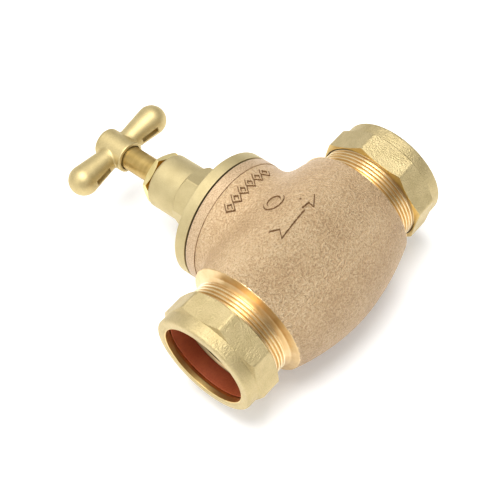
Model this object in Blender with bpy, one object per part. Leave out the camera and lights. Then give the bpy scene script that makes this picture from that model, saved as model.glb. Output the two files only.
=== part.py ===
"""Screw-down stop valve with a crutch handle and two compression ends for 54 mm copper pipe.

The valve lies on its cast body. +X is the direction of flow, from the inlet nut to the outlet nut.
+Y is the stem's axis, from the body to the handle. +Z is up, and z = 0 is the surface it lies on.
Sizes are in millimetres, and MM turns them into metres. Turned pieces are made about their own Z:
STEM_SIDE lays that axis along +Y, OUTLET_SIDE along +X and INLET_SIDE along -X.
"""

import math
from collections import namedtuple

import bmesh
import bpy
from mathutils import Matrix, Vector

MM = 0.001
GAP = 0.3  # clearance that touching pieces keep
BODY_SEGMENTS = 32  # sides of the large round pieces, a multiple of the nuts' eight flats

# Pipe and body, measured from the point where the pipe's axis meets the stem's
PIPE_RADIUS = 27.3  # socket for a 54 mm pipe
PIPE_STOP = 44.0  # the pipe goes in as far as this
WATERWAY_RADIUS = 25.0
BODY_RADIUS = 44.4  # half the globe's height along the stem, at its middle
BODY_WIDENING = 4.3  # how much further the globe reaches sideways
BODY_SAG = 2.2  # how far the globe's middle hangs away from the bonnet
SHOULDER = 48.0  # where the globe ends and the threaded end starts
SHOULDER_RADIUS = 37.9
GLOBE_POWER = 1.77  # how square the globe is along the pipe: 2 is an ellipse
WALL = 5.5
BODY_END = 70.6
RIM_RADIUS = 40.0
RIM_TOP = 52.8
RIM_HEIGHT = 7.0
NECK_RADIUS = 39.6

# Seat and partition
SEAT_TOP = 5.0
SEAT_RADIUS = 24.0
PORT_RADIUS = 20.0
PARTITION_HALF = 2.5

# Compression joint, as distances from the stem's axis
PIPE_THREAD_PITCH = 25.4 / 11
THREAD_ROOT = 30.6
THREAD_CREST = 32.1
THREAD_START = 52.4
NUT_REAR = 61.6
NUT_FLATS_END = 76.2
NUT_FACE = 85.3
NUT_APOTHEM = 33.7
NUT_COLLAR_RADIUS = 33.0
INLET_NUT_TURN = math.radians(28.0)
OUTLET_NUT_TURN = math.radians(38.8)

# Bonnet, as heights along the stem
BONNET_BASE = 38.0
FLANGE_BOTTOM = 53.85
FLANGE_TOP = 61.4
WRENCH_TOP = 84.6
BARREL_TOP = 105.4
BARREL_RADIUS = 17.4
WRENCH_TURN = math.radians(22.4)
SPIGOT_ROOT = 31.8
SPIGOT_CREST = 33.0
STUFFING_RADIUS = 11.6
STUFFING_FLOOR = 84.0
STEM_RADIUS = 7.5

# Gland
GLAND_NUT_BASE = 106.8
GLAND_NUT_TOP = 110.9
GLAND_NUT_APOTHEM = 14.5
GLAND_NUT_TURN = math.radians(27.8)
GLAND_PITCH = 1.5
GLAND_DEPTH = 0.9
GLAND_THREAD = 100.7  # height of a tooth's middle on the gland nut's shank
PACKING_HEIGHT = 3.2
PACKING_RINGS = 3

# Stem, jumper and handle at rest, with the valve fully open
STEM_PITCH = 4.0
STEM_SQUARE = 5.0  # half the square's width
HANDLE_BASE = 136.0
HANDLE_TOP = 158.0
HUB_RADIUS = 10.0
ARM_HEIGHT = 147.0
ARM_BALL_OFFSET = 30.1
ARM_BALL_RADIUS = 9.5
ARM_TURN = math.radians(1.8)
WASHER_BOTTOM = 17.3

LYING_HEIGHT = BODY_RADIUS + BODY_WIDENING
MIDDLE_HEIGHT = (HANDLE_TOP - BODY_RADIUS - BODY_SAG) / 2
VALVE_CENTRE = Matrix.Translation(Vector((0, -MIDDLE_HEIGHT, LYING_HEIGHT)) * MM)
STEM_SIDE = VALVE_CENTRE @ Matrix.Rotation(-math.pi / 2, 4, "X")
OUTLET_SIDE = VALVE_CENTRE @ Matrix(((0, 0, 1, 0), (1, 0, 0, 0), (0, 1, 0, 0), (0, 0, 0, 1)))
INLET_SIDE = VALVE_CENTRE @ Matrix(((0, 0, -1, 0), (1, 0, 0, 0), (0, -1, 0, 0), (0, 0, 0, 1)))

# centre is the height of a tooth's middle at angle 0, and crest and base are a tooth's widths
Thread = namedtuple("Thread", "centre turns pitch crest_radius crest base")


def clear_scene():
    for item in list(bpy.data.objects):
        bpy.data.objects.remove(item)


def material(name, colour, roughness, metallic):
    made = bpy.data.materials.new(name)
    made.use_nodes = True
    shader = made.node_tree.nodes["Principled BSDF"]
    shader.inputs["Base Color"].default_value = (*colour, 1)
    shader.inputs["Roughness"].default_value = roughness
    shader.inputs["Metallic"].default_value = metallic
    made.diffuse_color = (*colour, 1)
    return made


def finish(name, bm, place, look=None):
    """Makes an object of a bmesh; one with no material is a guide for a Boolean."""
    bmesh.ops.recalc_face_normals(bm, faces=bm.faces)
    mesh = bpy.data.meshes.new(name)
    bm.to_mesh(mesh)
    bm.free()
    mesh.shade_smooth()
    mesh.set_sharp_from_angle(angle=math.radians(30))
    made = bpy.data.objects.new(name, mesh)
    made.matrix_world = place
    bpy.context.scene.collection.objects.link(made)
    if look:
        mesh.materials.append(look)
    else:
        made.hide_render = True
        made.display_type = "WIRE"
    return made


def boolean(target, operation, guide):
    modifier = target.modifiers.new(guide.name, "BOOLEAN")
    modifier.operation = operation
    modifier.object = guide
    modifier.solver = "EXACT"


def vertex(bm, radius, angle, height):
    """A vertex at a radius and an angle about Z, and a height along it, in millimetres."""
    return bm.verts.new(Vector((radius * math.cos(angle), radius * math.sin(angle), height)) * MM)


def ring(bm, point, angles):
    """A ring of vertices; the point is (radius, height), or a function of the angle past the first."""
    if not callable(point) and point[0] == 0:
        return [vertex(bm, 0, 0, point[1])]
    made = []
    for angle in angles:
        radius, height = point(angle - angles[0]) if callable(point) else point
        made.append(vertex(bm, radius, angle, height))
    return made


def join_rings(bm, first, second):
    for step in range(max(len(first), len(second))):
        after = step + 1
        corners = (
            first[step % len(first)],
            first[after % len(first)],
            second[after % len(second)],
            second[step % len(second)],
        )
        bm.faces.new(list(dict.fromkeys(corners)))


def join_thread(bm, lower, upper, base_radius, thread, angles):
    """A right-handed helical ridge with blunt ends, between two plain rings."""
    tooth = [(base_radius, -thread.base / 2), (thread.crest_radius, -thread.crest / 2)]
    if thread.crest > 0:
        tooth.append((thread.crest_radius, thread.crest / 2))
    foot = len(tooth)  # where a tooth ends, which is where the next one starts if there is no flat between
    if thread.base < thread.pitch:
        tooth.append((base_radius, thread.base / 2))
    rows = len(tooth)
    last = thread.turns * rows
    columns = []
    for step, angle in enumerate(angles):
        column = []
        for row in range(last + 1 + (rows if step == 0 else 0)):
            radius, rise = tooth[row % rows]
            height = thread.centre + thread.pitch * (angle / math.tau + row // rows) + rise
            column.append(vertex(bm, radius, angle, height))
        columns.append(column)
    seam = columns[0]
    columns.append(seam[rows:])
    for step in range(len(angles)):
        near, far = columns[step], columns[step + 1]
        after = (step + 1) % len(angles)
        for row in range(last):
            bm.faces.new((near[row], far[row], far[row + 1], near[row + 1]))
        start = [lower[step], lower[after], far[0], near[0]]
        end = [near[last], far[last], upper[after], upper[step]]
        if after == 0:
            start = [lower[step], lower[0], seam[0], *seam[foot : rows + 1], near[0]]
        if step == 0:
            end += seam[last + foot : last + rows + 1][::-1]
        bm.faces.new(start)
        bm.faces.new(end)
    bm.faces.new(seam[: foot + 1])
    bm.faces.new(seam[last : last + foot + 1])


def turned(profile, segments=24, turn=0.0):
    """A closed piece turned about Z from a profile that may hold threads.

    A profile that starts and ends on the axis is a solid piece, and any other is a closed ring.
    """
    bm = bmesh.new()
    angles = [turn + math.tau * step / segments for step in range(segments)]
    rings = [item if isinstance(item, Thread) else ring(bm, item, angles) for item in profile]
    solid = not callable(profile[0]) and profile[0][0] == 0
    for index in range(len(profile) - (1 if solid else 0)):
        after = (index + 1) % len(profile)
        if isinstance(profile[after], Thread):
            ends = [(profile[index][1], rings[index]), (profile[after + 1][1], rings[after + 1])]
            ends.sort(key=lambda end: end[0])
            join_thread(bm, ends[0][1], ends[1][1], profile[index][0], profile[after], angles)
        elif not isinstance(profile[index], Thread):
            join_rings(bm, rings[index], rings[after])
    return bm


def turned_cap(profile, turn, segments=24):
    """A turned cup: the profile touches the axis twice in its middle, for the cup's closed end."""
    bm = bmesh.new()
    angles = [turn + math.tau * step / segments for step in range(segments)]
    rings = [ring(bm, point, angles) for point in profile]
    for index, first in enumerate(rings):
        second = rings[(index + 1) % len(rings)]
        if len(first) + len(second) > 2:
            join_rings(bm, first, second)
    return bm


def flats(apothem, sides, height, most=math.inf):
    """A ring point on a prism's flat sides, no further out than most; a corner is at angle 0."""

    def point(angle):
        from_middle = (angle % (math.tau / sides)) - math.pi / sides
        return min(apothem / math.cos(from_middle), most), height

    return point


def chamfered_flats(apothem, sides, height, edge_radius, rise):
    """Where a prism's flat sides meet a chamfer cone that starts at edge_radius on height."""

    def point(angle):
        radius = flats(apothem, sides, height)(angle)[0]
        return radius, height + rise * (radius - edge_radius)

    return point


def prism(outline, low, high):
    """An upright prism from an outline of (x, y) points."""
    bm = bmesh.new()
    face = bm.faces.new([bm.verts.new(Vector((x, y, low)) * MM) for x, y in outline])
    extruded = bmesh.ops.extrude_face_region(bm, geom=[face])
    moved = [item for item in extruded["geom"] if isinstance(item, bmesh.types.BMVert)]
    bmesh.ops.translate(bm, verts=moved, vec=Vector((0, 0, high - low)) * MM)
    return bm


def split_ring(inner, outer, low, high):
    """A flat ring with a gap, made as an arc of square sections with closed ends."""
    opening = math.radians(50)
    steps = 20
    bm = bmesh.new()
    sections = []
    for step in range(steps + 1):
        angle = opening / 2 + (math.tau - opening) * step / steps
        corners = ((inner, low), (outer, low), (outer, high), (inner, high))
        sections.append([vertex(bm, radius, angle, height) for radius, height in corners])
    for first, second in zip(sections, sections[1:]):
        join_rings(bm, first, second)
    bm.faces.new(sections[0])
    bm.faces.new(sections[-1])
    return bm


def globe(offset, stations, segments=BODY_SEGMENTS):
    """The globe's outer surface moved out by offset, with a flat end at the first and last station."""
    fall = (SHOULDER_RADIUS / BODY_RADIUS) ** GLOBE_POWER
    reach = SHOULDER / (1 - fall) ** (1 / GLOBE_POWER)
    bm = bmesh.new()
    rings = []
    for along, narrowing in stations:
        middle = max(0.0, 1 - (along / SHOULDER) ** 2)
        radius = BODY_RADIUS * (1 - abs(along / reach) ** GLOBE_POWER) ** (1 / GLOBE_POWER)
        radius += offset - narrowing
        points = []
        for step in range(segments):
            angle = math.tau * step / segments
            height = radius * math.cos(angle) - BODY_SAG * middle
            side = (radius + BODY_WIDENING * middle) * math.sin(angle)
            points.append(bm.verts.new(Vector((along, height, side)) * MM))
        rings.append(points)
    for first, second in zip(rings, rings[1:]):
        join_rings(bm, first, second)
    bm.faces.new(rings[0])
    bm.faces.new(rings[-1])
    return bm


def globe_stations(ends):
    """Stations along the globe, with the given (distance, narrowing) pairs at both ends."""
    inner = [(step * 8.0, 0.0) for step in range(-4, 5)]
    return [(-along, narrowing) for along, narrowing in reversed(ends)] + inner + ends


def threaded_end():
    """The turned end of the body that takes the compression nut."""
    start = SHOULDER - 8  # inside the globe, so that the two join
    foot_radius = THREAD_ROOT + 3
    return turned(
        [
            (0, start),
            (foot_radius, start),
            (foot_radius, SHOULDER + 1),
            (THREAD_ROOT + 1.2, SHOULDER + 2),
            (THREAD_ROOT, SHOULDER + 3),
            Thread(THREAD_START, 6, PIPE_THREAD_PITCH, THREAD_CREST, 0, PIPE_THREAD_PITCH),
            (THREAD_ROOT, BODY_END - 0.6),
            (THREAD_ROOT - 0.4, BODY_END),
            (0, BODY_END),
        ],
        BODY_SEGMENTS,
    )


def socket_and_cone():
    """The space inside the threaded end: pipe socket, and the cone that the olive is pressed into."""
    cone_depth, cone_rise = 3.3, 2.3
    past_end = BODY_END + 3
    return turned(
        [
            (0, PIPE_STOP),
            (PIPE_RADIUS, PIPE_STOP),
            (PIPE_RADIUS, BODY_END - cone_depth),
            (PIPE_RADIUS + cone_rise, BODY_END + 0.7),
            (PIPE_RADIUS + cone_rise, past_end),
            (0, past_end),
        ],
        BODY_SEGMENTS,
    )


def partition_outline():
    """The partition's S shape in the plane of the two axes: roof to seat, and seat to floor."""
    middle = SEAT_TOP - 4.5
    roof = 33
    upper = ((-SHOULDER, roof), (-PIPE_STOP + 3, roof - 2), (-SEAT_RADIUS - 3, middle))
    lower = [(-along, 2 * middle - height) for along, height in reversed(upper)]
    line = [*upper, *lower]
    top = [(along + PARTITION_HALF, height + PARTITION_HALF) for along, height in line]
    bottom = [(along - PARTITION_HALF, height - PARTITION_HALF) for along, height in line]
    return top + bottom[::-1]


def arrow_outline():
    """A plain flow arrow that points along +X, with a notched tail."""
    tip, head, tail = 15.5, 8.5, -17.0
    half_shaft, half_head, half_tail = 1.5, 4.6, 4.2
    upper = [(tail, half_tail), (tail + 7, half_shaft), (head, half_shaft), (head - 1.5, half_head)]
    lower = [(along, -side) for along, side in reversed(upper)]
    return [*upper, (tip, 0), *lower, (tail + 4, 0)]


def make_valve_body(look):
    lip = 0.6
    shoulder = [(40.0, 0.0), (SHOULDER - lip, 0.0), (SHOULDER, lip)]
    body = finish("valve_body", globe(0, globe_stations(shoulder)), VALVE_CENTRE, look)

    rim = RIM_TOP - RIM_HEIGHT
    neck_profile = [
        (0, 0),
        (NECK_RADIUS, 0),
        (NECK_RADIUS, rim),
        (RIM_RADIUS, rim + 0.4),
        (RIM_RADIUS, RIM_TOP - 0.5),
        (RIM_RADIUS - 0.5, RIM_TOP),
        (0, RIM_TOP),
    ]
    neck = finish("neck_guide", turned(neck_profile, BODY_SEGMENTS), STEM_SIDE)
    outlet = finish("outlet_end_guide", threaded_end(), OUTLET_SIDE)
    inlet = finish("inlet_end_guide", threaded_end(), INLET_SIDE)

    arrow_middle = -2.2
    arrow_place = VALVE_CENTRE @ Matrix.Translation(Vector((0, arrow_middle, 0)) * MM)
    arrow = finish("arrow_guide", prism(arrow_outline(), BODY_RADIUS - 4, BODY_RADIUS + 10), arrow_place)
    arrow_raised = 0.6
    arrow_top = finish("arrow_top_guide", globe(arrow_raised, globe_stations(shoulder)), VALVE_CENTRE)
    boolean(arrow, "INTERSECT", arrow_top)

    inner_ends = [(40.0, 0.0), (PIPE_STOP + 1, BODY_RADIUS - WALL - WATERWAY_RADIUS - 4.5)]
    cavity = finish("cavity_guide", globe(-WALL, globe_stations(inner_ends)), VALVE_CENTRE)
    bonnet_bore = [
        (0, 12),
        (SPIGOT_CREST - 1.5, 12),
        (SPIGOT_CREST - 1.5, BONNET_BASE - 3),
        (SPIGOT_CREST + GAP, BONNET_BASE - 2),
        (SPIGOT_CREST + GAP, RIM_TOP + 4),
        (0, RIM_TOP + 4),
    ]
    boolean(cavity, "UNION", finish("bonnet_bore_guide", turned(bonnet_bore, BODY_SEGMENTS), STEM_SIDE))

    half_depth = BODY_RADIUS + BODY_WIDENING + 2
    partition = finish("partition_guide", prism(partition_outline(), -half_depth, half_depth), VALVE_CENTRE)
    seat_foot = SEAT_TOP - 4
    seat_profile = [(0, seat_foot), (SEAT_RADIUS, seat_foot), (SEAT_RADIUS, SEAT_TOP), (0, SEAT_TOP)]
    port_profile = [(0, -15), (PORT_RADIUS, -15), (PORT_RADIUS, 15), (0, 15)]
    boolean(partition, "UNION", finish("seat_guide", turned(seat_profile, BODY_SEGMENTS), STEM_SIDE))
    boolean(partition, "DIFFERENCE", finish("port_guide", turned(port_profile, BODY_SEGMENTS), STEM_SIDE))
    boolean(cavity, "DIFFERENCE", partition)

    for guide in (neck, outlet, inlet, arrow):
        boolean(body, "UNION", guide)
    boolean(body, "DIFFERENCE", cavity)
    boolean(body, "DIFFERENCE", finish("outlet_socket_guide", socket_and_cone(), OUTLET_SIDE))
    boolean(body, "DIFFERENCE", finish("inlet_socket_guide", socket_and_cone(), INLET_SIDE))


def make_compression_nut(name, place, turn, look):
    sides = 8
    rear_edge = 32.7
    thread_end = NUT_REAR + 10
    first_tooth = THREAD_START + PIPE_THREAD_PITCH * 4.5  # half a pitch off the body's own teeth
    cone_start = NUT_FACE - 9.6
    profile = [
        (THREAD_CREST + GAP, NUT_REAR),
        (rear_edge, NUT_REAR),
        chamfered_flats(NUT_APOTHEM, sides, NUT_REAR, rear_edge, 0.85),
        flats(NUT_APOTHEM, sides, NUT_FLATS_END - 0.5),
        flats(NUT_APOTHEM - 0.5, sides, NUT_FLATS_END),
        (NUT_COLLAR_RADIUS, NUT_FLATS_END + 0.2),
        (NUT_COLLAR_RADIUS, NUT_FACE - 2.2),
        (NUT_COLLAR_RADIUS - 0.7, NUT_FACE - 0.7),
        (NUT_COLLAR_RADIUS - 2.2, NUT_FACE),
        (PIPE_RADIUS + 0.4, NUT_FACE),
        (PIPE_RADIUS, NUT_FACE - 0.4),
        (PIPE_RADIUS, NUT_FACE - 3.2),
        (PIPE_RADIUS + 3.6, cone_start),
        (THREAD_CREST + GAP, cone_start - 1),
        (THREAD_CREST + GAP, thread_end),
        Thread(first_tooth, 2, PIPE_THREAD_PITCH, THREAD_ROOT + GAP, 0, PIPE_THREAD_PITCH),
        (THREAD_CREST + GAP, NUT_REAR + 0.01),
    ]
    finish(name, turned(profile, BODY_SEGMENTS, turn), place, look)


def make_olive(name, place, look):
    inner_end = BODY_END - 1.4
    outer_end = NUT_FACE - 5.3
    lip, crown = 28.1, 30.4
    profile = [
        (PIPE_RADIUS + 0.1, inner_end),
        (lip, inner_end),
        (crown, inner_end + 4),
        (crown, outer_end - 4),
        (lip, outer_end),
        (PIPE_RADIUS + 0.1, outer_end),
    ]
    finish(name, turned(profile, BODY_SEGMENTS), place, look)


def make_bonnet(look):
    sides = 6
    chamber_radius = 27.0
    chamber_top = 50.0
    drive_base, drive_crest = 10.7, 8.8
    drive_low, drive_high = 56.0, 78.9
    roof_edge = 15.7
    gland_bore = 12.8
    profile = [
        (chamber_radius, BONNET_BASE),
        (SPIGOT_ROOT - 0.6, BONNET_BASE),
        (SPIGOT_ROOT, BONNET_BASE + 0.6),
        Thread(BONNET_BASE + 1.8, 4, PIPE_THREAD_PITCH, SPIGOT_CREST, 0, PIPE_THREAD_PITCH),
        (SPIGOT_ROOT, FLANGE_BOTTOM - 1.2),
        (SPIGOT_ROOT, FLANGE_BOTTOM),
        (RIM_RADIUS - 0.6, FLANGE_BOTTOM),
        (RIM_RADIUS, FLANGE_BOTTOM + 0.6),
        (RIM_RADIUS, FLANGE_TOP - 0.8),
        (RIM_RADIUS - 0.8, FLANGE_TOP),
        flats(BARREL_RADIUS, sides, FLANGE_TOP),
        flats(BARREL_RADIUS, sides, WRENCH_TOP - 1.2),
        flats(BARREL_RADIUS, sides, WRENCH_TOP - 0.2, BARREL_RADIUS + 0.8),
        (BARREL_RADIUS - 0.05, WRENCH_TOP),
        (BARREL_RADIUS - 0.05, BARREL_TOP - 2.5),
        (BARREL_RADIUS - 0.75, BARREL_TOP - 0.75),
        (BARREL_RADIUS - 2.5, BARREL_TOP),
        (gland_bore + 0.4, BARREL_TOP),
        (gland_bore, BARREL_TOP - 0.4),
        Thread(GLAND_THREAD - GLAND_PITCH / 2, 3, GLAND_PITCH, gland_bore - GLAND_DEPTH, 0, GLAND_PITCH),
        (gland_bore, GLAND_THREAD - 1.9),
        (STUFFING_RADIUS, GLAND_THREAD - 2.4),
        (STUFFING_RADIUS, STUFFING_FLOOR),
        (STEM_RADIUS + GAP, STUFFING_FLOOR),
        (STEM_RADIUS + GAP, STUFFING_FLOOR - 4),
        (drive_base, drive_high + 0.7),
        Thread(drive_low + 3.5, 3, STEM_PITCH, drive_crest, 1.2, 2.2),
        (drive_base, drive_low),
        (roof_edge, drive_low - 2),
        (chamber_radius - 3, chamber_top),
        (chamber_radius, chamber_top - 3),
    ]
    finish("bonnet", turned(profile, turn=WRENCH_TURN), STEM_SIDE, look)


def make_gland(brass, packing):
    shank_end = 99.5
    root = 11.6
    nut_profile = [
        (STEM_RADIUS + GAP, shank_end),
        (root - 0.3, shank_end),
        (root, shank_end + 0.3),
        Thread(GLAND_THREAD, 2, GLAND_PITCH, root + GLAND_DEPTH, 0, GLAND_PITCH),
        (root, GLAND_NUT_BASE - 0.6),
        (root, GLAND_NUT_BASE),
        (GLAND_NUT_APOTHEM - 0.2, GLAND_NUT_BASE),
        flats(GLAND_NUT_APOTHEM, 6, GLAND_NUT_BASE + 0.2),
        flats(GLAND_NUT_APOTHEM, 6, GLAND_NUT_TOP - 0.9),
        flats(GLAND_NUT_APOTHEM, 6, GLAND_NUT_TOP - 0.3, GLAND_NUT_APOTHEM + 1),
        (GLAND_NUT_APOTHEM - 0.6, GLAND_NUT_TOP),
        (STEM_RADIUS + 1, GLAND_NUT_TOP),
        (STEM_RADIUS + GAP, GLAND_NUT_TOP - 0.7),
    ]
    finish("gland_nut", turned(nut_profile, turn=GLAND_NUT_TURN), STEM_SIDE, brass)

    inner = STEM_RADIUS + GAP
    outer = STUFFING_RADIUS - GAP
    height = STUFFING_FLOOR + GAP
    base_profile = [(inner, height), (outer, height), (outer, height + 1.5), (inner + 1, height + 1.5)]
    finish("packing_base_ring", turned(base_profile), STEM_SIDE, brass)
    height += 1.5 + GAP
    for number in range(1, PACKING_RINGS + 1):
        top = height + PACKING_HEIGHT
        round_edge = 0.7
        ring_profile = [
            (inner, height + round_edge),
            (inner + round_edge, height),
            (outer - round_edge, height),
            (outer, height + round_edge),
            (outer, top - round_edge),
            (outer - round_edge, top),
            (inner + round_edge, top),
            (inner, top - round_edge),
        ]
        finish(f"packing_ring_{number}", turned(ring_profile), STEM_SIDE, packing)
        height = top + GAP

    tightening_room = 0.5
    bottom = height + tightening_room
    top = shank_end - GAP
    follower_profile = [
        (inner, bottom),
        (outer, bottom),
        (outer, top - 0.4),
        (outer - 0.4, top),
        (inner + 0.6, top),
        (inner, top - 0.6),
    ]
    finish("gland_follower", turned(follower_profile), STEM_SIDE, brass)


def make_stem(look):
    socket_radius = 5.3
    socket_top = 46.0
    groove_radius = 6.2
    groove = 40.0
    foot, foot_radius = 31.0, 9.8
    thread_root, thread_crest = 8.4, 10.4
    thread_low, thread_high = 51.6, 79.4
    square_start, square_end = HANDLE_BASE + 2.6, HANDLE_TOP - 4.5
    profile = [
        (0, socket_top),
        (socket_radius, socket_top),
        (socket_radius, groove + 1.6),
        (groove_radius, groove + 1.6),
        (groove_radius, groove),
        (socket_radius, groove),
        (socket_radius, foot + 0.5),
        (socket_radius + 0.5, foot),
        (foot_radius - 1, foot),
        (foot_radius, foot + 1),
        (foot_radius, thread_low - 1.4),
        (thread_root, thread_low),
        Thread(53.5, 5, STEM_PITCH, thread_crest, 1.3, 2.4),
        (thread_root, thread_high - 0.4),
        (STEM_RADIUS, thread_high),
        (STEM_RADIUS, square_start - 0.8),
        (STEM_RADIUS - 0.3, square_start),
        flats(STEM_SQUARE, 4, square_start + 0.02, STEM_RADIUS - 0.5),
        flats(STEM_SQUARE, 4, square_end - 0.6, STEM_RADIUS - 0.5),
        flats(STEM_SQUARE - 0.5, 4, square_end, STEM_RADIUS - 1),
        (0, square_end),
    ]
    finish("stem", turned(profile, turn=math.pi / 4), STEM_SIDE, look)


def arm_solid():
    """A club: slim at the hub, growing to a ball at its end."""
    start_radius = 6.4
    root = HUB_RADIUS - 3.5
    profile = [(0, root), (start_radius, root), (start_radius, HUB_RADIUS)]
    slope = math.asin((ARM_BALL_RADIUS - start_radius) / (ARM_BALL_OFFSET - HUB_RADIUS))
    arc_steps = 7
    for step in range(arc_steps + 1):
        angle = math.pi / 2 + slope - (math.pi / 2 + slope) * step / arc_steps
        radius = ARM_BALL_RADIUS * math.sin(angle) if step < arc_steps else 0
        profile.append((radius, ARM_BALL_OFFSET + ARM_BALL_RADIUS * math.cos(angle)))
    return turned(profile)


def pocket():
    """The lightening pocket on the side of an arm that faces the body, cut into that arm's solid."""
    half_width = 2.6
    return prism([(4.2, -half_width), (14, -half_width), (14, half_width), (4.2, half_width)], 14.5, 27)


def make_handle(brass, steel):
    counterbore_depth = 3.0
    square_hole = STEM_SQUARE + GAP
    square_top = HANDLE_TOP - 4
    hub_profile = [
        (STEM_RADIUS + 0.7, HANDLE_BASE),
        (HUB_RADIUS - 0.5, HANDLE_BASE),
        (HUB_RADIUS, HANDLE_BASE + 0.5),
        (HUB_RADIUS, HANDLE_TOP - 1.5),
        (HUB_RADIUS - 0.5, HANDLE_TOP - 0.5),
        (HUB_RADIUS - 2, HANDLE_TOP),
        (0, HANDLE_TOP),
        (0, square_top),
        flats(square_hole, 4, square_top),
        flats(square_hole, 4, HANDLE_BASE + counterbore_depth),
        (STEM_RADIUS + 0.7, HANDLE_BASE + counterbore_depth - 0.02),
    ]
    handle = finish("crutch_handle", turned_cap(hub_profile, math.pi / 4), STEM_SIDE, brass)

    arm_place = STEM_SIDE @ Matrix.Translation(Vector((0, 0, ARM_HEIGHT)) * MM)
    for side, facing in (("outlet", 0.0), ("inlet", math.pi)):
        along = arm_place @ Matrix.Rotation(ARM_TURN + facing, 4, "Z") @ Matrix.Rotation(math.pi / 2, 4, "Y")
        arm = finish(f"{side}_arm_guide", arm_solid(), along)
        boolean(handle, "UNION", arm)
        boolean(handle, "DIFFERENCE", finish(f"{side}_pocket_guide", pocket(), along))

    screw_height = 150.5
    screw_radius = 2.0
    facing_down = STEM_SIDE @ Matrix.Translation(Vector((0, 0, screw_height)) * MM)
    facing_down = facing_down @ Matrix.Rotation(-math.pi / 2, 4, "X")
    hole_profile = [
        (0, STEM_SQUARE),
        (screw_radius + GAP, STEM_SQUARE),
        (screw_radius + GAP, HUB_RADIUS + 2),
        (0, HUB_RADIUS + 2),
    ]
    boolean(handle, "DIFFERENCE", finish("screw_hole_guide", turned(hole_profile, 16), facing_down))
    screw_low, screw_high = STEM_SQUARE + GAP, HUB_RADIUS - 0.5
    screw_profile = [
        (0, screw_low),
        (1.2, screw_low),
        (screw_radius, screw_low + 0.7),
        (screw_radius, screw_high - 0.3),
        (screw_radius - 0.3, screw_high),
        flats(1.0, 6, screw_high),
        flats(1.0, 6, screw_high - 2),
        (0, screw_high - 2),
    ]
    finish("handle_grub_screw", turned(screw_profile, 24), facing_down, steel)


def make_jumper(brass, steel, rubber):
    disc_radius = 23.5
    stud_radius = 4.0
    washer_top = WASHER_BOTTOM + 4
    disc_bottom = washer_top + GAP
    disc_top = disc_bottom + 4.4
    pin_radius, pin_top, groove, groove_radius = 5.0, 45.4, 40.1, 4.0
    nut_height = 4.6
    plate_top = WASHER_BOTTOM - GAP
    plate_bottom = plate_top - 1.6
    nut_top = plate_bottom - GAP
    stud_bottom = nut_top - nut_height - 1
    jumper_profile = [
        (0, stud_bottom),
        (stud_radius - 0.5, stud_bottom),
        (stud_radius, stud_bottom + 0.5),
        (stud_radius, disc_bottom),
        (disc_radius, disc_bottom),
        (disc_radius, disc_top - 1.4),
        (disc_radius - 1.4, disc_top),
        (8.5, disc_top),
        (8.5, disc_top + 3),
        (pin_radius, disc_top + 4),
        (pin_radius, groove),
        (groove_radius, groove),
        (groove_radius, groove + 1.4),
        (pin_radius, groove + 1.4),
        (pin_radius, pin_top - 1),
        (pin_radius - 1, pin_top),
        (0, pin_top),
    ]
    finish("jumper", turned(jumper_profile), STEM_SIDE, brass)

    bore = stud_radius + GAP
    washer_radius = 23.0
    washer_profile = [
        (bore, WASHER_BOTTOM),
        (washer_radius - 0.4, WASHER_BOTTOM),
        (washer_radius, WASHER_BOTTOM + 0.4),
        (washer_radius, washer_top - 0.4),
        (washer_radius - 0.4, washer_top),
        (bore, washer_top),
    ]
    finish("seat_washer", turned(washer_profile), STEM_SIDE, rubber)

    plate_radius = 15.0
    plate_profile = [
        (bore, plate_bottom),
        (plate_radius - 0.8, plate_bottom),
        (plate_radius, plate_bottom + 0.8),
        (plate_radius, plate_top),
        (bore, plate_top),
    ]
    finish("washer_plate", turned(plate_profile), STEM_SIDE, brass)

    nut_apothem = 6.5
    nut_profile = [
        (bore, nut_top - nut_height),
        (nut_apothem - 0.2, nut_top - nut_height),
        flats(nut_apothem, 6, nut_top - nut_height + 0.2, nut_apothem + 0.4),
        flats(nut_apothem, 6, nut_top - nut_height + 0.8),
        flats(nut_apothem, 6, nut_top - 0.1),
        (nut_apothem - 0.2, nut_top),
        (bore, nut_top),
    ]
    finish("washer_nut", turned(nut_profile, 24), STEM_SIDE, brass)

    clip = split_ring(groove_radius + GAP, pin_radius + 0.9, groove + 0.2, groove + 1.2)
    finish("jumper_clip", clip, STEM_SIDE, steel)


def make_bonnet_washer(look):
    inner, outer = SPIGOT_CREST + 0.5, RIM_RADIUS - 0.8
    low, high = RIM_TOP + 0.25, FLANGE_BOTTOM - 0.25
    profile = [(inner, low), (outer, low), (outer, high), (inner, high)]
    finish("bonnet_washer", turned(profile, BODY_SEGMENTS), STEM_SIDE, look)


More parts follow.
